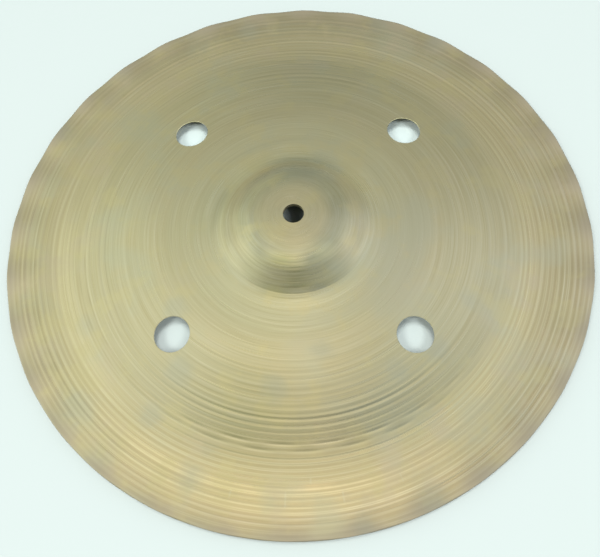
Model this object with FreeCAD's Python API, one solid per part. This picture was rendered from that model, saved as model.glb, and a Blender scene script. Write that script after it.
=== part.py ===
import FreeCAD, Part
import math
import os

# A pair of hi-hat cymbals, nested bell up as they are stored: a 14 in cymbal with four vents and a waved rim,
# and its 12 in partner under it. Millimetres, +Z up. The origin is on the common axis, on the plane that the
# partner's rim rests on.

# ---- driving dimensions -------------------------------------------------------------------------------------
BORE_R = 6.15  # centre hole of both cymbals, 12.3 mm across
VENT_PITCH_R = 97.8  # from the axis to a vent's middle
VENT_R = 10.6  # vent in the 14 in cymbal, 21.2 mm across
VENT_AZIMUTHS = (45.0, 135.0, 225.0, 315.0)

RIM_R = 177.8  # 14 in across
SHEET_T = 1.0  # bronze sheet, square to its surface
WAVES = 32  # waves round the rim
WAVE_AMP = 0.5  # half of a wave's height, at the rim
WAVE_PHASE = 29.9  # degrees of one wave, at azimuth 0
WAVE_START_R = 148.0  # inner end of the waves
WAVE_POLES = 8  # surface poles in one wave

# Height of the 14 in cymbal's upper surface at a radius, over the mean plane of its rim: a low round bell, a flat
# shoulder round it, the bow, a ring at about 142 mm that lies lowest, and a rim that turns up again.
PROFILE = (
    (BORE_R, 19.29),
    (12.0, 19.16),
    (17.0, 18.99),
    (20.0, 18.81),
    (22.5, 18.57),
    (25.0, 18.17),
    (28.0, 17.39),
    (31.0, 16.24),
    (34.0, 14.80),
    (37.0, 13.06),
    (39.5, 11.44),
    (41.5, 10.12),
    (43.5, 8.95),
    (45.5, 8.08),
    (47.5, 7.52),
    (50.0, 7.08),
    (53.0, 6.74),
    (57.0, 6.47),
    (62.0, 6.27),
    (70.0, 6.03),
    (80.0, 5.66),
    (90.0, 4.74),
    (98.0, 3.75),
    (108.0, 2.41),
    (116.0, 1.27),
    (124.0, 0.05),
    (131.0, -0.94),
    (136.0, -1.43),
    (142.0, -1.74),
    (WAVE_START_R, -1.74),
    (156.0, -1.38),
    (164.0, -0.90),
    (170.0, -0.52),
    (RIM_R, 0.0),
)

PARTNER_R = 152.4  # 12 in across
PARTNER_T = 0.9
PARTNER_VENT_R = 12.4  # wider than the vent over it, so that light passes both
NEST_GAP = 0.6  # between the two sheets, square to them
NEST_R = 124.0  # the partner follows the sheet over it out to here
# Past that its bow keeps falling to a plain rim. Heights are over the same plane as PROFILE.
PARTNER_FALL = ((132.0, -2.76), (140.0, -3.70), (148.0, -4.46), (PARTNER_R, -4.83))


def spline_through(points):
    """A natural cubic through (r, z) points: functions for its height and its slope."""
    xs, ys = [p[0] for p in points], [p[1] for p in points]
    n = len(xs)
    h = [xs[i + 1] - xs[i] for i in range(n - 1)]
    lower, diag, upper, right = [0.0] * n, [1.0] * n, [0.0] * n, [0.0] * n
    for i in range(1, n - 1):
        lower[i], diag[i], upper[i] = h[i - 1], 2 * (h[i - 1] + h[i]), h[i]
        right[i] = 6 * ((ys[i + 1] - ys[i]) / h[i] - (ys[i] - ys[i - 1]) / h[i - 1])
    for i in range(1, n):
        w = lower[i] / diag[i - 1]
        diag[i] -= w * upper[i - 1]
        right[i] -= w * right[i - 1]
    bend = [0.0] * n
    for i in range(n - 2, 0, -1):
        bend[i] = (right[i] - upper[i] * bend[i + 1]) / diag[i]

    def span(x):
        for i in range(n - 2):
            if x < xs[i + 1]:
                return i
        return n - 2

    def height(x):
        i = span(x)
        a, b = (xs[i + 1] - x) / h[i], (x - xs[i]) / h[i]
        return (
            a * ys[i]
            + b * ys[i + 1]
            + ((a**3 - a) * bend[i] + (b**3 - b) * bend[i + 1]) * h[i] ** 2 / 6
        )

    def slope(x):
        i = span(x)
        a, b = (xs[i + 1] - x) / h[i], (x - xs[i]) / h[i]
        return (ys[i + 1] - ys[i]) / h[i] + (
            (3 * b * b - 1) * bend[i + 1] - (3 * a * a - 1) * bend[i]
        ) * h[i] / 6

    return height, slope


def below(height, slope, x, depth):
    """The height of a point that lies this deep under the surface, square to it."""
    return height(x) - depth * math.sqrt(1 + slope(x) ** 2)


top_z, top_slope = spline_through(PROFILE)

partner_points = [
    (r, below(top_z, top_slope, r, SHEET_T + NEST_GAP))
    for r, _ in PROFILE
    if r <= NEST_R
] + list(PARTNER_FALL)
partner_z, partner_slope = spline_through(partner_points)

# The plane that the partner's rim rests on becomes z = 0.
LIFT = -below(partner_z, partner_slope, PARTNER_R, PARTNER_T)

AXIS = FreeCAD.Vector(0, 0, 1)
ORIGIN = FreeCAD.Vector(0, 0, 0)


def meridian(points):
    """A smooth curve through (r, z) points in the XZ plane."""
    curve = Part.BSplineCurve()
    curve.interpolate(Points=[FreeCAD.Vector(r, 0, z + LIFT) for r, z in points])
    return curve


def vent_tool(radius):
    tools = []
    for azimuth in VENT_AZIMUTHS:
        a = math.radians(azimuth)
        centre = FreeCAD.Vector(
            VENT_PITCH_R * math.cos(a), VENT_PITCH_R * math.sin(a), -10
        )
        tools.append(Part.makeCylinder(radius, 60, centre, AXIS))
    return Part.makeCompound(tools)


# ---- 14 in cymbal -------------------------------------------------------------------------------------------
# The middle is turned about the axis. The rim's waves are a surface whose rows of poles go round the axis, eight
# to a wave; each row is scaled so that the surface passes through the wanted radius and wave height.
STEP_ANGLE = 2 * math.pi / (WAVES * WAVE_POLES)
ROUND_SCALE = 3 / (2 + math.cos(STEP_ANGLE))
WAVE_SCALE = 3 / (2 + math.cos(2 * math.pi / WAVE_POLES))


def wave_share(r):
    s = max(0.0, (r - WAVE_START_R) / (RIM_R - WAVE_START_R))
    return s * s * (1.6 - 0.6 * s)


inner = [(r, z) for r, z in PROFILE if r <= WAVE_START_R]
# Closer stations there, so that the poles can follow how fast the waves grow.
outer_r = [WAVE_START_R + (RIM_R - WAVE_START_R) * i / 9 for i in range(10)]
outer_top = [(r, top_z(r)) for r in outer_r]
outer_low = [(r, below(top_z, top_slope, r, SHEET_T)) for r in outer_r]
inner_low = [(r, below(top_z, top_slope, r, SHEET_T)) for r, _ in inner]


def joined_meridians(inside, outside):
    """One smooth curve over both stretches, cut where they meet, so that they join without a crease."""
    whole = meridian(list(inside) + list(outside[1:]))
    cut_at = whole.parameter(FreeCAD.Vector(outside[0][0], 0, outside[0][1] + LIFT))
    first, second = whole.copy(), whole.copy()
    first.segment(whole.FirstParameter, cut_at)
    second.segment(cut_at, whole.LastParameter)
    return first, second


def waved_surface(curve):
    """The waved ring of one side of the sheet, whose mean meridian is this curve."""
    poles, knots, mults = curve.getPoles(), curve.getKnots(), curve.getMultiplicities()
    count = WAVES * WAVE_POLES
    grid = []
    for i in range(count):
        angle = (i - 1) * STEP_ANGLE
        wave = WAVE_AMP * WAVE_SCALE * math.cos(WAVES * angle + math.radians(WAVE_PHASE))
        row = []
        for j, p in enumerate(poles):
            lift = 0.0 if j < 2 else wave * wave_share(p.x)
            row.append(
                FreeCAD.Vector(
                    p.x * ROUND_SCALE * math.cos(angle),
                    p.x * ROUND_SCALE * math.sin(angle),
                    p.z + lift,
                )
            )
        grid.append(row)
    surface = Part.BSplineSurface()
    surface.buildFromPolesMultsKnots(
        grid,
        [1] * (count + 1),
        list(mults),
        [float(k) for k in range(count + 1)],
        list(knots),
        True,
        False,
        3,
        curve.Degree,
    )
    return surface


top_in, top_out = joined_meridians(inner, outer_top)
low_in, low_out = joined_meridians(inner_low, outer_low)
upper_ring, lower_ring = waved_surface(top_out), waved_surface(low_out)
rim_top = upper_ring.vIso(upper_ring.bounds()[3]).toShape()
rim_low = lower_ring.vIso(lower_ring.bounds()[3]).toShape()
bore_edge = Part.makeLine(
    FreeCAD.Vector(BORE_R, 0, low_in.value(low_in.FirstParameter).z),
    FreeCAD.Vector(BORE_R, 0, top_in.value(top_in.FirstParameter).z),
)
faces = [
    top_in.toShape().revolve(ORIGIN, AXIS, 360),
    low_in.toShape().revolve(ORIGIN, AXIS, 360),
    upper_ring.toShape(),
    lower_ring.toShape(),
    Part.makeRuledSurface(rim_low, rim_top),
    bore_edge.revolve(ORIGIN, AXIS, 360),
]
skin = Part.makeCompound([face for shape in faces for face in shape.Faces])
skin.sewShape(0.001)
wave_cymbal = Part.Solid(skin.Shells[0])
if wave_cymbal.Volume < 0:
    wave_cymbal.reverse()
wave_cymbal = wave_cymbal.cut(vent_tool(VENT_R))
wave_cymbal = wave_cymbal.Solids[0] if len(wave_cymbal.Solids) == 1 else wave_cymbal

# ---- 12 in partner ------------------------------------------------------------------------------------------
partner_top = meridian(partner_points)
partner_low = meridian(
    [(r, below(partner_z, partner_slope, r, PARTNER_T)) for r, _ in partner_points]
)


def ends(curve):
    return curve.value(curve.FirstParameter), curve.value(curve.LastParameter)


top_a, top_b = ends(partner_top)
low_a, low_b = ends(partner_low)
outline = Part.Wire(
    [
        partner_top.toShape(),
        Part.makeLine(top_b, low_b),
        partner_low.toShape(),
        Part.makeLine(low_a, top_a),
    ]
)
partner = Part.Face(outline).revolve(ORIGIN, AXIS, 360)
if partner.Volume < 0:
    partner.reverse()
partner = partner.cut(vent_tool(PARTNER_VENT_R))
partner = partner.Solids[0] if len(partner.Solids) == 1 else partner

os.makedirs("parts", exist_ok=True)
for name, shape in (
    ("wave_edge_cymbal_14in", wave_cymbal),
    ("partner_cymbal_12in", partner),
):
    box = shape.BoundBox
    print(
        name,
        shape.ShapeType,
        "valid" if shape.isValid() else "NOT VALID",
        "solids %d faces %d volume %.1f cm3" % (len(shape.Solids), len(shape.Faces), shape.Volume / 1000),
        "z %.2f to %.2f" % (box.ZMin, box.ZMax),
    )
    shape.exportStep("parts/%s.step" % name)
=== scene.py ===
import bpy
import math
import numpy as np
from mathutils import Matrix, Vector


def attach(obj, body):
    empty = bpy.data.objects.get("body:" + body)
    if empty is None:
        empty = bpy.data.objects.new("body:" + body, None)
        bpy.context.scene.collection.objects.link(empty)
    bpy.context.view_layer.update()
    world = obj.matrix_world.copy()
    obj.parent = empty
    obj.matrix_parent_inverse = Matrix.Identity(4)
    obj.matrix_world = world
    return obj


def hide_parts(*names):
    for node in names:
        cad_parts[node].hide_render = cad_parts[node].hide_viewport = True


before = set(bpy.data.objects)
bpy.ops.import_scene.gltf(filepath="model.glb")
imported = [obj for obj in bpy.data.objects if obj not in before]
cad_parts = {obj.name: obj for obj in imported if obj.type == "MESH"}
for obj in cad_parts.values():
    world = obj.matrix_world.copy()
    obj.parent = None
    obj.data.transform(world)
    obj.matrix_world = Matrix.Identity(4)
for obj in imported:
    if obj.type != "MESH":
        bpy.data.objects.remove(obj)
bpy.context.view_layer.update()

TOP_NODE = "wave_edge_cymbal_14in"
LOW_NODE = "partner_cymbal_12in"

# ---- shape of the two sheets, in millimetres ----------------------------------------------------------------
BORE_R, VENT_PITCH_R, VENT_R, PARTNER_VENT_R = 6.15, 97.8, 10.6, 12.4
RIM_R, SHEET_T, PARTNER_R, PARTNER_T, NEST_GAP, NEST_R = 177.8, 1.0, 152.4, 0.9, 0.6, 124.0
WAVES, WAVE_AMP, WAVE_PHASE, WAVE_START_R = 32, 0.5, math.radians(29.9), 148.0
PROFILE = (
    (BORE_R, 19.29),
    (12.0, 19.16),
    (17.0, 18.99),
    (20.0, 18.81),
    (22.5, 18.57),
    (25.0, 18.17),
    (28.0, 17.39),
    (31.0, 16.24),
    (34.0, 14.80),
    (37.0, 13.06),
    (39.5, 11.44),
    (41.5, 10.12),
    (43.5, 8.95),
    (45.5, 8.08),
    (47.5, 7.52),
    (50.0, 7.08),
    (53.0, 6.74),
    (57.0, 6.47),
    (62.0, 6.27),
    (70.0, 6.03),
    (80.0, 5.66),
    (90.0, 4.74),
    (98.0, 3.75),
    (108.0, 2.41),
    (116.0, 1.27),
    (124.0, 0.05),
    (131.0, -0.94),
    (136.0, -1.43),
    (142.0, -1.74),
    (WAVE_START_R, -1.74),
    (156.0, -1.38),
    (164.0, -0.90),
    (170.0, -0.52),
    (RIM_R, 0.0),
)
PARTNER_FALL = ((132.0, -2.76), (140.0, -3.70), (148.0, -4.46), (PARTNER_R, -4.83))
MM = 0.001


class Curve:
    """A natural cubic through (r, z) points."""

    def __init__(self, points):
        self.x = np.array([p[0] for p in points], float)
        self.y = np.array([p[1] for p in points], float)
        n, h = len(self.x), np.diff(self.x)
        m, b = np.eye(n), np.zeros(n)
        for i in range(1, n - 1):
            m[i, i - 1 : i + 2] = h[i - 1], 2 * (h[i - 1] + h[i]), h[i]
            b[i] = 6 * ((self.y[i + 1] - self.y[i]) / h[i] - (self.y[i] - self.y[i - 1]) / h[i - 1])
        self.m = np.linalg.solve(m, b)

    def _at(self, r):
        r = np.asarray(r, float)
        i = np.clip(np.searchsorted(self.x, r, side="right") - 1, 0, len(self.x) - 2)
        h = self.x[i + 1] - self.x[i]
        return i, h, (self.x[i + 1] - r) / h, (r - self.x[i]) / h

    def z(self, r):
        i, h, a, b = self._at(r)
        return a * self.y[i] + b * self.y[i + 1] + ((a**3 - a) * self.m[i] + (b**3 - b) * self.m[i + 1]) * h * h / 6

    def slope(self, r):
        i, h, a, b = self._at(r)
        return (self.y[i + 1] - self.y[i]) / h + ((3 * b * b - 1) * self.m[i + 1] - (3 * a * a - 1) * self.m[i]) * h / 6

    def under(self, r, depth):
        return self.z(r) - depth * np.sqrt(1 + self.slope(r) ** 2)


sheet = Curve(PROFILE)
partner = Curve([(r, float(sheet.under(r, SHEET_T + NEST_GAP))) for r, _ in PROFILE if r <= NEST_R] + list(PARTNER_FALL))
LIFT = -float(partner.under(PARTNER_R, PARTNER_T))  # the partner's rim rests on z = 0


def wave(r, a):
    s = np.clip((r - WAVE_START_R) / (RIM_R - WAVE_START_R), 0, None)
    return WAVE_AMP * s * s * (1.6 - 0.6 * s) * (0.54 + 0.33 * s**12) * np.cos(WAVES * a + WAVE_PHASE)


def ease(x, lo, hi):
    t = np.clip((x - lo) / (hi - lo), 0, 1)
    return t * t * (3 - 2 * t)


def wander(x, seed, size):
    """Smooth noise from -1 to 1 along one line, with features of this size."""
    t = np.asarray(x, float) / size
    i = np.floor(t).astype(int)
    f = t - i
    f = f * f * (3 - 2 * f)

    def h(n):
        return (np.sin(n * 12.9898 + seed * 78.233) * 43758.5453) % 1.0 * 2 - 1

    return h(i) * (1 - f) + h(i + 1) * f


# ---- what the lathe left in the upper side: depths of metal taken off, in millimetres -------------------------
SPIRAL_PITCH = 3.06  # the tool moves this far out in one turn
RINGS = (  # radius, depth, half width
    (27.6, 0.014, 0.9),
    (30.7, 0.036, 0.8),
    (33.4, 0.062, 0.85),
    (35.5, 0.070, 0.75),
    (37.4, 0.074, 0.8),
    (40.0, 0.070, 0.8),
    (43.0, 0.050, 0.8),
    (46.2, 0.036, 0.8),
    (49.3, 0.018, 0.9),
    (116.9, 0.100, 1.2),
    (120.6, 0.066, 1.2),
    (124.1, 0.036, 0.8),
    (127.6, 0.042, 0.8),
    (137.5, 0.052, 0.9),
    (140.2, 0.046, 0.85),
    (142.7, 0.030, 0.8),
)


BELL_CUT = 275.0


def turns(r, a, pitch, seed):
    """The depth, from 0 to 1, of a spiral groove whose cut comes and goes."""
    drift = 0.35 * wander(r, seed, 14.0)
    return 0.5 + 0.5 * np.cos(2 * math.pi * r / pitch + a + drift)


def lathe_top(r, a):
    bell = ease(r, 9, 13) * (1 - ease(r, 44, 52))
    bow = ease(r, 46, 60) * (1 - ease(r, 112, 122))
    shoulder = ease(r, 112, 122) * (1 - ease(r, 141, 150))
    rim = ease(r, 141, 150) * (1 - ease(r, 174.5, 177.2))
    wide = ease(r, 76, 90)
    worn = 1 - 0.55 * ((1 + np.cos(a - math.radians(80.0))) / 2) ** 4 * ease(r, 155, 162)
    depth = 0.006 * bell + (0.013 + 0.028 * wide) * bow + 0.030 * shoulder + 0.105 * rim * worn
    swell = 0.72 + 0.20 * wander(r, 4.4, 7.5) + 0.14 * np.sin(3 * a + r * 0.21)
    cut = depth * swell * (
        turns(r, a, SPIRAL_PITCH, 1.7) + 0.75 * turns(r, a, 4.55, 6.2) + 0.30 * turns(r, a, 2.28, 3.9)
    )
    for c, deep, half in RINGS:
        fade = 0.80 + 0.20 * np.sin(2.0 * a + c)
        if c < 60.0:  # the bell's rings are cut deeper on one side
            fade = 0.30 + 0.85 * ((1 + np.cos(a - math.radians(BELL_CUT))) / 2) ** 9
        cut = cut + deep * fade * np.clip(1 - np.abs(r - c) / half, 0, 1)
    # where the rim's bends end, each leaves a short dent
    dash = 0.5 + 0.5 * np.cos(WAVES * a + WAVE_PHASE + 0.6)
    cut = cut + 0.150 * dash * np.exp(-(((r - 129.9) / 0.8) ** 2))
    cut = cut + 0.140 * (1 - dash) * np.exp(-(((r - 133.6) / 0.8) ** 2))
    return cut


def lathe_low(r, a):
    return (0.012 * (1 + np.cos(r * 2 * math.pi / 5.2 + a)) + 0.008 * (1 + wander(r, 5.9, 3.1))) * ease(r, 8, 12)


def lathe_partner(r, a):
    edge = 1 - ease(r, 149.5, 152)
    rings = 0.010 * (1 + wander(r, 21.7, 2.2)) + 0.010 * (1 + wander(r, 2.9, 5.1))
    return rings * edge * ease(r, 7.5, 12)


# ---- a sheet of metal as a mesh ---------------------------------------------------------------------------------
def stations(*spans, extra=()):
    """Radii from spans of (from, to, cells). Extra radii take the place of the nearest one, outside the vents' band."""
    out = [spans[0][0]]
    for lo, hi, n in spans:
        out += list(np.linspace(lo, hi, n + 1)[1:])
    out = np.array(out)
    for e in extra:
        i = int(np.argmin(np.abs(out - e)))
        if 0 < i < len(out) - 1 and not 81 < out[i] < 114:
            out[i] = e
    return np.unique(np.round(out, 4))


def sheet_mesh(name, rows_top, rows_low, cols, z_top, z_low, bore_r, rim_r, vent_r, patch_cells=7):
    """One turned sheet: polar grids above and below, a ring of quads round each vent, and the walls between them."""
    verts, faces = [], []
    step = 2 * math.pi / cols

    def add(x, y, z):
        base = len(verts)
        verts.extend(zip(np.ravel(x), np.ravel(y), np.ravel(z)))
        return base

    vent_cols = [round(math.radians(v) / step) for v in (45, 135, 225, 315)]
    circles = {}
    grids = {}
    for side, rows, height in (("top", rows_top, z_top), ("low", rows_low, z_low)):
        a, r = np.meshgrid(np.arange(cols) * step, rows)
        base = add(r * np.cos(a), r * np.sin(a), height(r, a))
        grids[side] = base
        i0 = int(np.argmin(np.abs(rows - (VENT_PITCH_R - 16))))
        i1 = int(np.argmin(np.abs(rows - (VENT_PITCH_R + 16))))
        holes = np.zeros((len(rows), cols), bool)
        for c in vent_cols:
            holes[i0:i1, c - patch_cells : c + patch_cells] = True
        for i in range(len(rows) - 1):
            for j in range(cols):
                if not holes[i, j]:
                    k = (j + 1) % cols
                    q = (base + i * cols + j, base + (i + 1) * cols + j, base + (i + 1) * cols + k, base + i * cols + k)
                    faces.append(q if side == "top" else q[::-1])
        for c in vent_cols:
            j0, j1 = c - patch_cells, c + patch_cells
            loop = (
                [(i0, j) for j in range(j0, j1)]
                + [(i, j1) for i in range(i0, i1)]
                + [(i1, j) for j in range(j1, j0, -1)]
                + [(i, j0) for i in range(i1, i0, -1)]
            )
            outer = [base + i * cols + j for i, j in loop]
            mid = np.array([VENT_PITCH_R * math.cos(c * step), VENT_PITCH_R * math.sin(c * step)])
            edge = np.array([verts[v][:2] for v in outer])
            away = edge - mid
            far = np.linalg.norm(away, axis=1, keepdims=True)
            unit = away / far
            rings = []
            for radius in (vent_r + 0.10, vent_r + 0.34, vent_r + 0.9):
                rings.append(mid + unit * radius)
            last = rings[-1]
            steps = 14 if side == "top" else 4
            for t in range(1, steps):
                rings.append(last + (edge - last) * (t / steps))
            ids = []
            for p in rings:
                rr, aa = np.hypot(p[:, 0], p[:, 1]), np.arctan2(p[:, 1], p[:, 0])
                b = add(p[:, 0], p[:, 1], height(rr, aa))
                ids.append(list(range(b, b + len(p))))
            ids.append(outer)
            n = len(outer)
            for inner_ring, outer_ring in zip(ids[:-1], ids[1:]):
                for q in range(n):
                    w = (q + 1) % n
                    f = (inner_ring[q], inner_ring[w], outer_ring[w], outer_ring[q])
                    faces.append(f if side == "top" else f[::-1])
            circles[side, c] = (ids[0], mid, unit)

    def bridge(chain):
        for one, two in zip(chain[:-1], chain[1:]):
            n = len(one)
            for q in range(n):
                w = (q + 1) % n
                faces.append((one[q], two[q], two[w], one[w]))

    bevel = 0.10
    for c in vent_cols:
        (top_ids, mid, unit), (low_ids, _, _) = circles["top", c], circles["low", c]
        p = mid + unit * vent_r
        rr, aa = np.hypot(p[:, 0], p[:, 1]), np.arctan2(p[:, 1], p[:, 0])
        chain = [top_ids]
        zt, zl = z_top(rr, aa), z_low(rr, aa)
        for z in (zt - bevel, (zt + zl) / 2, zl + bevel):
            b = add(p[:, 0], p[:, 1], z)
            chain.append(list(range(b, b + len(p))))
        chain.append(low_ids)
        bridge(chain)
    ang = np.arange(cols) * step
    ring = lambda base, row: [base + row * cols + j for j in range(cols)]

    def wall(radius_steps, first, last):
        chain = [first]
        for radius, z in radius_steps:
            b = add(radius * np.cos(ang), radius * np.sin(ang), z)
            chain.append(list(range(b, b + cols)))
        chain.append(last)
        bridge(chain)

    full = lambda r: np.full(cols, float(r))
    zt, zl = z_top(full(bore_r), ang), z_low(full(bore_r), ang)
    wall(
        [(bore_r, zt - bevel), (bore_r, (zt + zl) / 2), (bore_r, zl + bevel)],
        ring(grids["top"], 0),
        ring(grids["low"], 0),
    )
    zt, zl = z_top(full(rim_r), ang), z_low(full(rim_r), ang)
    wall(
        [(rim_r - 0.06, zt - 0.07), (rim_r, zt - 0.26), (rim_r, zl + 0.26), (rim_r - 0.06, zl + 0.07)],
        ring(grids["top"], len(rows_top) - 1),
        ring(grids["low"], len(rows_low) - 1),
    )
    used = sorted({v for f in faces for v in f})
    where = {v: i for i, v in enumerate(used)}
    mesh = bpy.data.meshes.new(name)
    mesh.from_pydata(
        [tuple(float(c) * MM for c in verts[v]) for v in used], [], [tuple(where[v] for v in f) for f in faces]
    )
    mesh.validate()
    mesh.shade_smooth()
    mesh.set_sharp_from_angle(angle=math.radians(34))
    obj = bpy.data.objects.new(name, mesh)
    bpy.context.scene.collection.objects.link(obj)
    return obj


ring_marks = [e for c, _, half in RINGS for e in (c - half, c, c + half)]
rows_top = stations(
    (BORE_R + 0.12, 50.0, 64),
    (50.0, 81.8, 56),
    (81.8, 113.8, 56),
    (113.8, 134.2, 42),
    (134.2, RIM_R - 0.25, 82),
    extra=ring_marks,
)
rows_low = stations((BORE_R + 0.12, 50.0, 16), (50.0, 81.8, 9), (81.8, 113.8, 56), (113.8, RIM_R - 0.25, 26))
COLUMNS = 256
cymbal = sheet_mesh(
    "wave_edge_cymbal_surface",
    rows_top,
    rows_low,
    COLUMNS,
    lambda r, a: LIFT + sheet.z(r) + wave(r, a) - lathe_top(r, a),
    lambda r, a: LIFT + sheet.under(r, SHEET_T) + wave(r, a) + lathe_low(r, a),
    BORE_R,
    RIM_R,
    VENT_R,
)
rows_p = stations((BORE_R + 0.12, 50.0, 26), (50.0, 81.8, 18), (81.8, 113.8, 18), (113.8, PARTNER_R - 0.25, 26))
mate = sheet_mesh(
    "partner_cymbal_surface",
    rows_p,
    rows_p,
    COLUMNS,
    lambda r, a: LIFT + partner.z(r) - lathe_partner(r, a),
    lambda r, a: LIFT + partner.under(r, PARTNER_T) + lathe_partner(r + 40, a) * ease(r, 8, 12) * (1 - ease(r, 148, 151)),
    BORE_R,
    PARTNER_R,
    PARTNER_VENT_R,
)


# ---- materials ------------------------------------------------------------------------------------------------
class Net:
    """Short names for building a node tree."""

    def __init__(self, tree):
        self.tree = tree
        tree.nodes.clear()

    def new(self, kind, **values):
        node = self.tree.nodes.new(kind)
        for k, v in values.items():
            setattr(node, k, v)
        return node

    def put(self, socket, value):
        if isinstance(value, bpy.types.NodeSocket):
            self.tree.links.new(value, socket)
        else:
            socket.default_value = value

    def math(self, op, a, b=0.0, c=0.0, clamp=False):
        n = self.new("ShaderNodeMath", operation=op, use_clamp=clamp)
        for s, v in zip(n.inputs, (a, b, c)):
            self.put(s, v)
        return n.outputs[0]

    def add(self, a, b):
        return self.math("ADD", a, b)

    def mul(self, a, b):
        return self.math("MULTIPLY", a, b)

    def vec(self, x, y, z):
        n = self.new("ShaderNodeCombineXYZ")
        for s, v in zip(n.inputs, (x, y, z)):
            self.put(s, v)
        return n.outputs[0]

    def smooth(self, x, lo, hi, a=0.0, b=1.0):
        n = self.new("ShaderNodeMapRange", interpolation_type="SMOOTHSTEP")
        for key, v in (("Value", x), ("From Min", lo), ("From Max", hi), ("To Min", a), ("To Max", b)):
            self.put(n.inputs[key], v)
        return n.outputs[0]

    def noise(self, vector, scale=1.0, detail=2.0, rough=0.5, w=None):
        n = self.new("ShaderNodeTexNoise", noise_dimensions="4D" if w is not None else "3D")
        self.put(n.inputs["Vector"], vector)
        n.inputs["Scale"].default_value = scale
        n.inputs["Detail"].default_value = detail
        n.inputs["Roughness"].default_value = rough
        if w is not None:
            self.put(n.inputs["W"], w)
        return n.outputs["Fac"]

    def mix(self, fac, a, b, blend="MIX"):
        n = self.new("ShaderNodeMix", data_type="RGBA", blend_type=blend, clamp_factor=True)
        self.put(n.inputs["Factor"], fac)
        for s, v in ((n.inputs[6], a), (n.inputs[7], b)):
            self.put(s, (*v, 1.0) if isinstance(v, tuple) and len(v) == 3 else v)
        return n.outputs[2]


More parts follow.
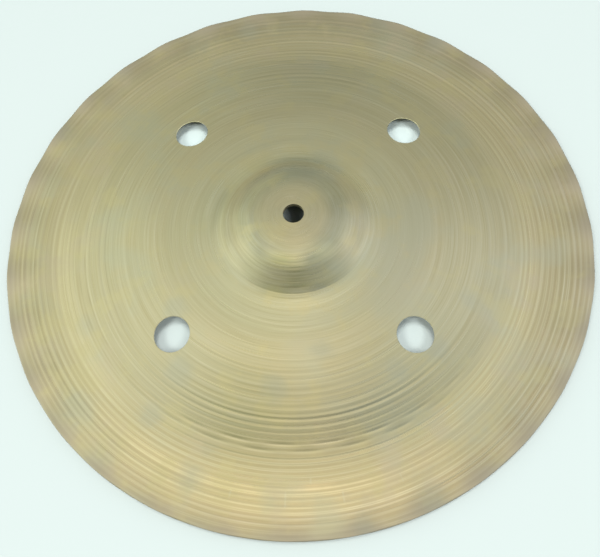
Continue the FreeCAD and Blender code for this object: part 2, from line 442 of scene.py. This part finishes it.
def bronze(
    name, seed, spiral_from, rim_r, waves, smudges, scratches, tarnish, grooves=(), belts=(), light_patches=(), tone=(1.0, 1.0, 1.0)
):
    """Lathed bronze: rings and a coarse spiral in colour, roughness and bump, with tarnish and finger marks, and
    painted shade and painted highlights in grooves and patches.
    """
    mat = bpy.data.materials.new(name)
    mat.use_nodes = True
    n = Net(mat.node_tree)
    coord = n.new("ShaderNodeTexCoord").outputs["Object"]
    mm = n.new("ShaderNodeVectorMath", operation="SCALE")
    n.put(mm.inputs[0], coord)
    mm.inputs["Scale"].default_value = 1000.0
    sep = n.new("ShaderNodeSeparateXYZ")
    n.put(sep.inputs[0], mm.outputs[0])
    x, y, z = sep.outputs
    r = n.math("SQRT", n.add(n.mul(x, x), n.mul(y, y)))
    safe = n.math("MAXIMUM", r, 0.5)
    ca, sa = n.math("DIVIDE", x, safe), n.math("DIVIDE", y, safe)
    angle = n.math("ARCTAN2", y, x)

    def rings(scale, turn, offset, detail=1.0, rough=0.5):
        """Noise that changes fast along the radius and slowly round the axis."""
        return n.noise(
            n.vec(n.math("MULTIPLY_ADD", r, scale, offset), n.mul(ca, turn), n.mul(sa, turn)), 1.0, detail, rough
        )

    hair = rings(3.3, 1.6, seed + 3.0, 1.0, 0.5)
    fine = rings(1.9, 1.3, seed + 11.0, 2.0, 0.6)
    line = rings(0.95, 1.2, seed + 51.0, 2.0, 0.6)
    mid = rings(0.42, 0.9, seed + 23.0, 1.0)
    broad = rings(0.11, 0.7, seed + 37.0, 1.0)

    spin = n.math("MULTIPLY_ADD", r, 2 * math.pi / SPIRAL_PITCH, angle)
    cs, ss = n.math("COSINE", spin), n.math("SINE", spin)
    coil = n.noise(
        n.vec(n.mul(cs, 0.85), n.mul(ss, 0.85), n.mul(ca, 0.55)),
        1.0,
        1.0,
        0.5,
        w=n.add(n.mul(sa, 0.55), n.math("MULTIPLY_ADD", r, 0.035, seed)),
    )
    spin2 = n.math("MULTIPLY_ADD", r, 2 * math.pi / 4.55, angle)
    coil2 = n.noise(
        n.vec(n.mul(n.math("COSINE", spin2), 0.85), n.mul(n.math("SINE", spin2), 0.85), n.mul(ca, 0.7)),
        1.0,
        1.0,
        0.5,
        w=n.add(n.mul(sa, 0.7), n.math("MULTIPLY_ADD", r, 0.05, seed + 9.0)),
    )
    outer = n.smooth(r, spiral_from - 30.0, spiral_from + 8.0)

    blotch = n.noise(mm.outputs[0], 0.022, 3.0, 0.55)
    blotch2 = n.noise(n.vec(n.add(x, 310.0), n.add(y, -120.0), z), 0.05, 3.0, 0.6)
    blotch3 = n.noise(n.vec(n.add(x, -230.0), n.add(y, 410.0), z), 0.035, 3.0, 0.6)

    def shade(*rgb):
        return tuple(c * t for c, t in zip(rgb, tone))

    col = n.mix(n.smooth(broad, 0.30, 0.70), shade(0.730, 0.600, 0.355), shade(0.705, 0.590, 0.355))
    # the lathe's lines: thin dark and pale rings
    calm = n.smooth(r, 15.0, 34.0, 0.42, 1.0)  # the bell's top is turned finer
    calm = n.mul(calm, n.add(n.mul(n.mul(n.smooth(r, 48.0, 58.0), n.smooth(r, 82.0, 94.0, 1.0, 0.0)), -0.30), 1.0))
    col = n.mix(n.mul(n.smooth(mid, 0.44, 0.64), 0.20), col, shade(0.640, 0.515, 0.285))
    col = n.mix(n.mul(n.mul(n.smooth(fine, 0.48, 0.64), 0.46), calm), col, shade(0.610, 0.490, 0.265))
    col = n.mix(n.mul(n.mul(n.smooth(line, 0.55, 0.62), 0.40), calm), col, shade(0.600, 0.480, 0.255))
    col = n.mix(n.mul(n.mul(n.smooth(line, 0.37, 0.44, 1.0, 0.0), 0.40), calm), col, shade(0.830, 0.705, 0.480))
    col = n.mix(n.mul(n.smooth(hair, 0.50, 0.66), 0.28), col, shade(0.820, 0.695, 0.465))
    # the coarse spiral shows as khaki and tan bands in the outer part; towards one side (azimuth -44 degrees) they are
    # painted up to three times stronger, which is painted shade of the grooves on top of their own colour
    facing = n.add(n.mul(ca, 0.72), n.mul(sa, -0.69))
    side = n.smooth(facing, -0.6, 0.7, 0.34, 1.0)
    groove = n.smooth(n.math("MULTIPLY_ADD", n.add(coil, -0.5), 1.8, cs), -0.35, 0.60)
    groove = n.mul(groove, n.mul(outer, side))
    col = n.mix(n.mul(groove, 0.92), col, shade(0.605, 0.480, 0.272))
    second = n.mul(n.smooth(coil2, 0.46, 0.56), n.math("MULTIPLY_ADD", n.mul(outer, side), 0.42, 0.12))
    col = n.mix(second, col, shade(0.605, 0.485, 0.275))
    # painted shade in the deeper grooves: their lines are painted darker, on the bell most of all towards 275 degrees;
    # the same depths also deepen the bump
    cuts = None
    toward = n.add(n.mul(ca, 0.5 * math.cos(math.radians(BELL_CUT))), n.mul(sa, 0.5 * math.sin(math.radians(BELL_CUT))))
    cut_side = n.math("MULTIPLY_ADD", n.math("POWER", n.math("MAXIMUM", n.add(toward, 0.5), 0.0), 9.0), 0.85, 0.30)
    for c, deep, half in grooves:
        near = n.math("ABSOLUTE", n.add(r, -c))
        cut = n.mul(n.smooth(near, 0.10, half, 1.0, 0.0), n.mul(cut_side, deep) if c < 60.0 else deep)
        cuts = cut if cuts is None else n.add(cuts, cut)
        col = n.mix(n.mul(cut, 5.5), col, shade(0.545, 0.450, 0.262))
    for c, half, tint in belts:
        near = n.math("ABSOLUTE", n.add(r, -c))
        col = n.mix(n.smooth(near, half * 0.4, half * 1.5, 1.0, 0.0), col, tint, "MULTIPLY")
    # painted highlights and painted shade: patches on the bell and bow made brighter or darker where light or shade
    # falls on them
    for turn, c, half, spread, tint in light_patches:
        a0 = math.radians(turn)
        facing = n.add(n.mul(ca, math.cos(a0)), n.mul(sa, math.sin(a0)))
        near = n.math("ABSOLUTE", n.add(r, -c))
        spot = n.mul(
            n.smooth(near, half * 0.2, half * 1.5, 1.0, 0.0),
            n.smooth(facing, math.cos(math.radians(spread * 1.5)), math.cos(math.radians(spread * 0.4))),
        )
        col = n.mix(spot, col, tint, "MULTIPLY")
    # clouds: grey green, yellow and pinkish where the bronze has taken on colour
    col = n.mix(n.mul(n.smooth(blotch, 0.50, 0.70), 0.55), col, shade(0.665, 0.595, 0.405))
    col = n.mix(n.mul(n.smooth(blotch2, 0.50, 0.66), 0.45), col, shade(0.765, 0.620, 0.325))
    col = n.mix(n.mul(n.smooth(blotch3, 0.50, 0.68), n.math("MULTIPLY_ADD", outer, 0.35, 0.15)), col, shade(0.740, 0.585, 0.385))

    # tarnish: a pinkish brown band at the rim, wider and darker in step with the waves
    reach = n.math("MULTIPLY_ADD", blotch2, 7.0, rim_r - 11.5)
    if waves:
        crest = n.math("COSINE", n.math("MULTIPLY_ADD", angle, float(WAVES), WAVE_PHASE + TARNISH_PHASE))
        reach = n.math("MULTIPLY_ADD", crest, -1.8, reach)
    edge = n.new("ShaderNodeMapRange", interpolation_type="SMOOTHSTEP")
    n.put(edge.inputs["Value"], r)
    n.put(edge.inputs["From Min"], reach)
    n.put(edge.inputs["From Max"], n.add(reach, 9.0))
    pink = n.mul(edge.outputs[0], tarnish)
    col = n.mix(n.mul(pink, 0.75), col, shade(0.640, 0.510, 0.370))

    # finger marks: soft blue grey spots
    marks = None
    wobble = n.noise(mm.outputs[0], 0.11, 3.0, 0.6)
    for sx, sy, size, strength in smudges:
        dx, dy = n.add(x, -sx), n.add(y, -sy)
        d = n.math("SQRT", n.add(n.mul(dx, dx), n.mul(dy, dy)))
        d = n.math("DIVIDE", n.add(d, n.math("MULTIPLY_ADD", wobble, 9.0, -4.5)), size)
        spot = n.mul(n.smooth(d, 0.15, 1.0, 1.0, 0.0), strength)
        marks = spot if marks is None else n.math("MAXIMUM", marks, spot)
    rough = n.math("MULTIPLY_ADD", fine, 0.08, 0.225)
    rough = n.math("MULTIPLY_ADD", mid, 0.05, rough)
    rough = n.math("MULTIPLY_ADD", pink, 0.08, rough)
    if marks is not None:
        col = n.mix(marks, col, (0.560, 0.545, 0.440))
        rough = n.math("MULTIPLY_ADD", marks, 0.08, rough)
    # short pale scratches near the rim
    for turn, r0, r1, half in scratches:
        a0 = math.radians(turn)
        along = n.add(n.mul(x, math.cos(a0)), n.mul(y, math.sin(a0)))
        across = n.math("ABSOLUTE", n.add(n.mul(x, -math.sin(a0)), n.mul(y, math.cos(a0))))
        across = n.add(across, n.math("MULTIPLY_ADD", hair, 1.2, -0.6))
        mark = n.mul(n.smooth(across, 0.0, half, 1.0, 0.0), n.smooth(along, r0, r0 + 2.0))
        mark = n.mul(mark, n.smooth(along, r1 - 2.0, r1, 1.0, 0.0))
        col = n.mix(n.mul(mark, 0.34), col, (0.860, 0.760, 0.560))

    col = n.mix(n.smooth(r, BORE_R + 0.02, BORE_R + 0.10, 1.0, 0.0), col, (0.160, 0.135, 0.090))
    col = n.mix(n.mul(n.smooth(r, rim_r - 0.20, rim_r - 0.06), 0.9), col, (0.230, 0.175, 0.110))

    height = n.add(n.mul(hair, 0.32), n.mul(fine, 0.65))
    height = n.add(height, n.mul(n.mul(coil, outer), 0.5))
    if cuts is not None:
        height = n.add(height, n.mul(cuts, -56.0))
    bump = n.new("ShaderNodeBump")
    bump.inputs["Strength"].default_value = 1.0
    bump.inputs["Distance"].default_value = 0.000012
    n.put(bump.inputs["Height"], height)

    shader = n.new("ShaderNodeBsdfPrincipled")
    shader.inputs["Metallic"].default_value = 1.0
    shader.inputs["Anisotropic"].default_value = 0.65
    shader.inputs["Anisotropic Rotation"].default_value = 0.25
    n.put(shader.inputs["Base Color"], col)
    n.put(shader.inputs["Roughness"], rough)
    n.put(shader.inputs["Normal"], bump.outputs["Normal"])
    tangent = n.new("ShaderNodeTangent", direction_type="RADIAL", axis="Z")
    n.put(shader.inputs["Tangent"], tangent.outputs[0])
    out = n.new("ShaderNodeOutputMaterial")
    n.put(out.inputs["Surface"], shader.outputs["BSDF"])
    return mat


SMUDGES = (  # x, y, size, strength, in millimetres from the axis
    (-63.0, -90.0, 12.0, 0.30),
    (-68.0, -54.0, 11.0, 0.28),
    (-9.0, -100.0, 11.0, 0.30),
    (17.0, -79.0, 9.0, 0.26),
    (80.0, -77.0, 12.0, 0.28),
    (58.0, -89.0, 10.0, 0.20),
    (102.0, -47.0, 10.0, 0.22),
    (-78.0, -114.0, 11.0, 0.27),
    (-54.0, -147.0, 12.0, 0.27),
    (-45.0, -132.0, 9.0, 0.15),
    (73.0, -157.0, 13.0, 0.22),
    (38.0, -169.0, 9.0, 0.22),
    (96.0, 144.0, 12.0, 0.28),
    (98.0, 125.0, 9.0, 0.14),
    (55.0, 164.0, 10.0, 0.24),
    (-37.0, 161.0, 12.0, 0.28),
    (-157.0, 73.0, 12.0, 0.22),
    (-122.0, 123.0, 10.0, 0.16),
    (-122.0, -62.0, 10.0, 0.20),
)
SCRATCHES = (  # azimuth in degrees, from and to this radius, half width
    (258.6, 155.0, 161.0, 0.7),
    (269.2, 153.0, 162.5, 0.8),
    (274.2, 146.0, 151.0, 0.7),
    (280.2, 154.5, 162.0, 0.7),
    (291.8, 154.0, 160.0, 0.5),
)
# depths of the rings, for the painted shade in the grooves and for the bump
GROOVE_SHADE_AND_DEPTH = tuple((c, min(0.075, deep) * (1.0 if c < 60.0 else 0.55), half) for c, deep, half in RINGS)
BELTS = (  # radius, half width, tint
    (27.0, 7.0, (0.89, 0.92, 0.95)),
    (60.0, 16.0, (1.01, 1.045, 1.06)),
    (146.0, 14.0, (1.065, 1.05, 1.035)),
    (170.0, 5.0, (0.99, 0.965, 0.99)),
)
PAINTED_LIGHT_PATCHES = (  # azimuth, radius, half width, spread in degrees, tint: painted highlights where the tint is above 1, painted shade where it is below 1
    (278.0, 30.0, 4.0, 33.0, (1.58, 1.54, 1.42)),
    (288.0, 31.0, 2.6, 10.0, (1.06, 1.06, 1.06)),
    (206.0, 25.0, 1.7, 34.0, (0.88, 0.885, 0.93)),
    (200.0, 29.7, 3.5, 40.0, (0.94, 0.945, 0.96)),
    (204.0, 26.8, 0.5, 22.0, (0.99, 1.02, 1.06)),
    (203.0, 35.5, 3.0, 28.0, (1.045, 1.045, 1.045)),
    (264.0, 44.5, 3.2, 22.0, (0.935, 0.94, 0.945)),
    (275.0, 117.6, 1.8, 18.0, (0.95, 0.95, 0.955)),
    (345.0, 25.0, 5.5, 34.0, (0.87, 0.88, 0.90)),
    (97.0, 35.0, 3.4, 46.0, (0.80, 0.81, 0.85)),
    (82.0, 51.0, 7.5, 54.0, (1.15, 1.13, 1.10)),
    (205.0, 49.5, 4.5, 52.0, (0.92, 0.925, 0.94)),
    (167.0, 47.5, 3.5, 18.0, (0.91, 0.92, 0.93)),
    (268.0, 160.0, 12.0, 34.0, (1.25, 1.21, 1.18)),
    (273.5, 151.6, 1.9, 4.5, (1.14, 1.10, 1.11)),
    (325.0, 140.0, 9.0, 26.0, (1.09, 1.09, 1.06)),
    (202.0, 144.0, 7.0, 22.0, (1.13, 1.13, 1.12)),
    (319.0, 148.0, 15.0, 15.0, (1.04, 1.04, 1.04)),
    (140.0, 142.0, 7.0, 20.0, (1.045, 1.045, 1.045)),
    (18.0, 139.0, 9.0, 34.0, (1.03, 1.03, 1.03)),
    (82.0, 173.0, 3.0, 18.0, (0.95, 0.955, 0.96)),
    (86.0, 163.0, 11.0, 36.0, (0.90, 0.905, 0.92)),
)
TARNISH_PHASE = -0.4
skin = bronze("lathed_bronze", 0.0, 142.0, RIM_R, True, SMUDGES, SCRATCHES, 1.0, GROOVE_SHADE_AND_DEPTH, BELTS, PAINTED_LIGHT_PATCHES)
skin_mate = bronze("lathed_bronze_partner", 57.0, 400.0, PARTNER_R, False, (), (), 0.5, tone=(1.02, 1.0, 0.97))
cymbal.data.materials.append(skin)
mate.data.materials.append(skin_mate)

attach(cymbal, "wave_cymbal")
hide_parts(TOP_NODE)
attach(mate, "partner")
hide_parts(LOW_NODE)

# ---- floor, light and camera ----------------------------------------------------------------------------------
floor_mesh = bpy.data.meshes.new("floor")
floor_mesh.from_pydata([(-4, -4, 0), (4, -4, 0), (4, 4, 0), (-4, 4, 0)], [], [(0, 1, 2, 3)])
floor = bpy.data.objects.new("floor", floor_mesh)
floor.location.z = -0.0002
bpy.context.scene.collection.objects.link(floor)
cloth = bpy.data.materials.new("pale_floor")
cloth.use_nodes = True
c = Net(cloth.node_tree)
cb = c.new("ShaderNodeBsdfPrincipled")
co_at = c.new("ShaderNodeTexCoord").outputs["Object"]
cs_at = c.new("ShaderNodeSeparateXYZ")
c.put(cs_at.inputs[0], co_at)
fx, fy, _ = cs_at.outputs
# painted light: the floor is painted paler within about 75 to 142 mm of the cymbal's axis, where the cymbal's shade
# falls
fy = c.add(fy, -0.03)
out_r = c.math("SQRT", c.add(c.mul(fx, fx), c.mul(fy, fy)))
c.put(cb.inputs["Base Color"], c.mix(c.smooth(out_r, 0.075, 0.142), (0.510, 0.555, 0.550), (0.430, 0.447, 0.439)))
cb.inputs["Roughness"].default_value = 0.9
cb.inputs["Specular IOR Level"].default_value = 0.1
co = c.new("ShaderNodeOutputMaterial")
c.put(co.inputs["Surface"], cb.outputs["BSDF"])
floor_mesh.materials.append(cloth)

world = bpy.data.worlds.new("studio")
bpy.context.scene.world = world
world.use_nodes = True
w = Net(world.node_tree)
direction = w.new("ShaderNodeTexCoord").outputs["Generated"]
unit = w.new("ShaderNodeVectorMath", operation="NORMALIZE")
w.put(unit.inputs[0], direction)
ws = w.new("ShaderNodeSeparateXYZ")
w.put(ws.inputs[0], unit.outputs[0])


def lobe(d, width_deg):
    """A soft round patch of light in direction d: 1 in its middle, 1/e at this angle."""
    d = Vector(d).normalized()
    n = w.new("ShaderNodeVectorMath", operation="DOT_PRODUCT")
    w.put(n.inputs[0], unit.outputs[0])
    n.inputs[1].default_value = d
    k = -1.0 / (1.0 - math.cos(math.radians(width_deg)))
    return w.math("EXPONENT", w.mul(w.math("SUBTRACT", 1.0, n.outputs["Value"]), k))


def tinted(fac, colour):
    return w.mix(fac, (0.0, 0.0, 0.0), colour)


def plus(a, b):
    return w.mix(1.0, a, b, "ADD")


def minus(a, b):
    return w.mix(1.0, a, b, "SUBTRACT")


AMBIENT = (0.445, 0.515, 0.506)
LIGHTS = (  # direction, width in degrees, colour
    ((-0.03, 0.12, 0.99), 15.0, (0.63, 0.61, 0.43)),
    ((0.0, 0.09, 0.996), 7.0, (0.37, 0.41, 0.57)),
    ((0.36, 0.1, 0.93), 13.0, (0.10, 0.18, 0.29)),
    ((-0.36, 0.1, 0.93), 13.0, (0.40, 0.47, 0.53)),
    ((-0.77, -0.04, 0.64), 16.0, (0.53, 0.64, 0.64)),
    ((-0.62, 0.38, 0.69), 14.0, (0.38, 0.45, 0.40)),
    ((0.81, 0.0, 0.6), 16.0, (0.41, 0.44, 0.54)),
    ((0.64, 0.33, 0.69), 14.0, (0.24, 0.28, 0.37)),
    ((0.0, -0.29, 0.957), 7.0, (0.05, 0.03, 0.02)),
    ((0.0, -0.47, 0.88), 9.0, (0.13, 0.15, 0.23)),
    ((-0.8, 0.47, 0.37), 13.0, (0.22, 0.30, 0.25)),
    ((0.8, 0.47, 0.37), 13.0, (0.16, 0.20, 0.34)),
    ((-0.93, 0.05, 0.35), 14.0, (0.24, 0.28, 0.27)),
    ((-0.7, -0.45, 0.55), 14.0, (0.24, 0.32, 0.27)),
    ((0.7, -0.45, 0.55), 14.0, (0.07, 0.13, 0.23)),
    ((-0.3, 0.35, 0.89), 10.0, (0.09, 0.12, 0.07)),
    ((0.3, 0.35, 0.89), 10.0, (0.25, 0.27, 0.36)),
    ((-0.45, 0.8, 0.4), 14.0, (0.13, 0.16, 0.09)),
)
SHADES = (  # darker parts of the room
    ((0.0, -0.13, 0.99), 7.0, (0.19, 0.23, 0.23)),
    ((0.0, -0.68, 0.73), 12.0, (0.29, 0.31, 0.40)),
    ((0.0, 0.4, 0.917), 9.0, (0.10, 0.13, 0.05)),
    ((0.0, 0.95, 0.3), 14.0, (0.17, 0.16, 0.13)),
    ((-0.22, -0.22, 0.95), 9.0, (0.30, 0.29, 0.42)),
    ((0.22, -0.22, 0.95), 9.0, (0.41, 0.41, 0.28)),
)
sky = w.mix(0.0, AMBIENT, AMBIENT)
for d, width, colour in LIGHTS:
    sky = plus(sky, tinted(lobe(d, width), colour))
for d, width, colour in SHADES:
    sky = minus(sky, tinted(lobe(d, width), colour))
sky = w.mix(1.0, sky, (0.03, 0.03, 0.03), "LIGHTEN")
ray = w.new("ShaderNodeLightPath")
sky = w.mix(ray.outputs["Is Camera Ray"], sky, (0.80, 0.90, 0.87))
back = w.new("ShaderNodeBackground")
w.put(back.inputs["Color"], sky)
wo = w.new("ShaderNodeOutputWorld")
w.put(wo.inputs["Surface"], back.outputs[0])


def area(name, at, towards, size, watts, colour):
    data = bpy.data.lights.new(name, "AREA")
    data.shape, data.size, data.energy, data.color = "DISK", size, watts, colour
    o = bpy.data.objects.new(name, data)
    bpy.context.scene.collection.objects.link(o)
    o.location = at
    o.rotation_mode = "QUATERNION"
    o.rotation_quaternion = (Vector(towards) - Vector(at)).to_track_quat("-Z", "Y")
    o.visible_glossy = False
    o.visible_camera = False
    return o


area("key_left", (-2.0, -1.7, 3.7), (0, 0, 0), 1.5, 105.0, (0.94, 1.0, 0.96))
area("key_right", (1.9, -1.7, 3.7), (0, 0, 0), 1.5, 92.0, (0.92, 1.0, 0.98))
area("top", (0.0, 0.35, 4.4), (0, 0, 0), 1.5, 126.0, (0.93, 1.0, 0.97))


# The camera's place was solved in a frame whose vents stand 7.21 degrees back from the part's.
turn = Matrix.Rotation(math.radians(7.21), 3, "Z")
right = turn @ Vector((0.99286, -0.10945, -0.04739))
up = turn @ Vector((0.11927, 0.91113, 0.39448))
ahead = turn @ Vector((0.0, 0.39732, -0.91768))
up = (up - up.dot(ahead) * ahead).normalized()
right = ahead.cross(up).normalized()
place = turn @ Vector((-0.712, -183.048, 345.288)) * MM + Vector((0, 0, LIFT * MM))
cam_data = bpy.data.cameras.new("camera")
cam_data.sensor_fit = "HORIZONTAL"
cam_data.sensor_width = 36.0
cam_data.lens = 634.21 * 36.0 / 600.0
cam_data.clip_start = 0.01
cam = bpy.data.objects.new("camera", cam_data)
bpy.context.scene.collection.objects.link(cam)
cam.matrix_world = Matrix(
    (
        (right.x, up.x, -ahead.x, place.x),
        (right.y, up.y, -ahead.y, place.y),
        (right.z, up.z, -ahead.z, place.z),
        (0, 0, 0, 1),
    )
)
bpy.context.scene.camera = cam
bpy.context.scene.view_settings.view_transform = "Standard"
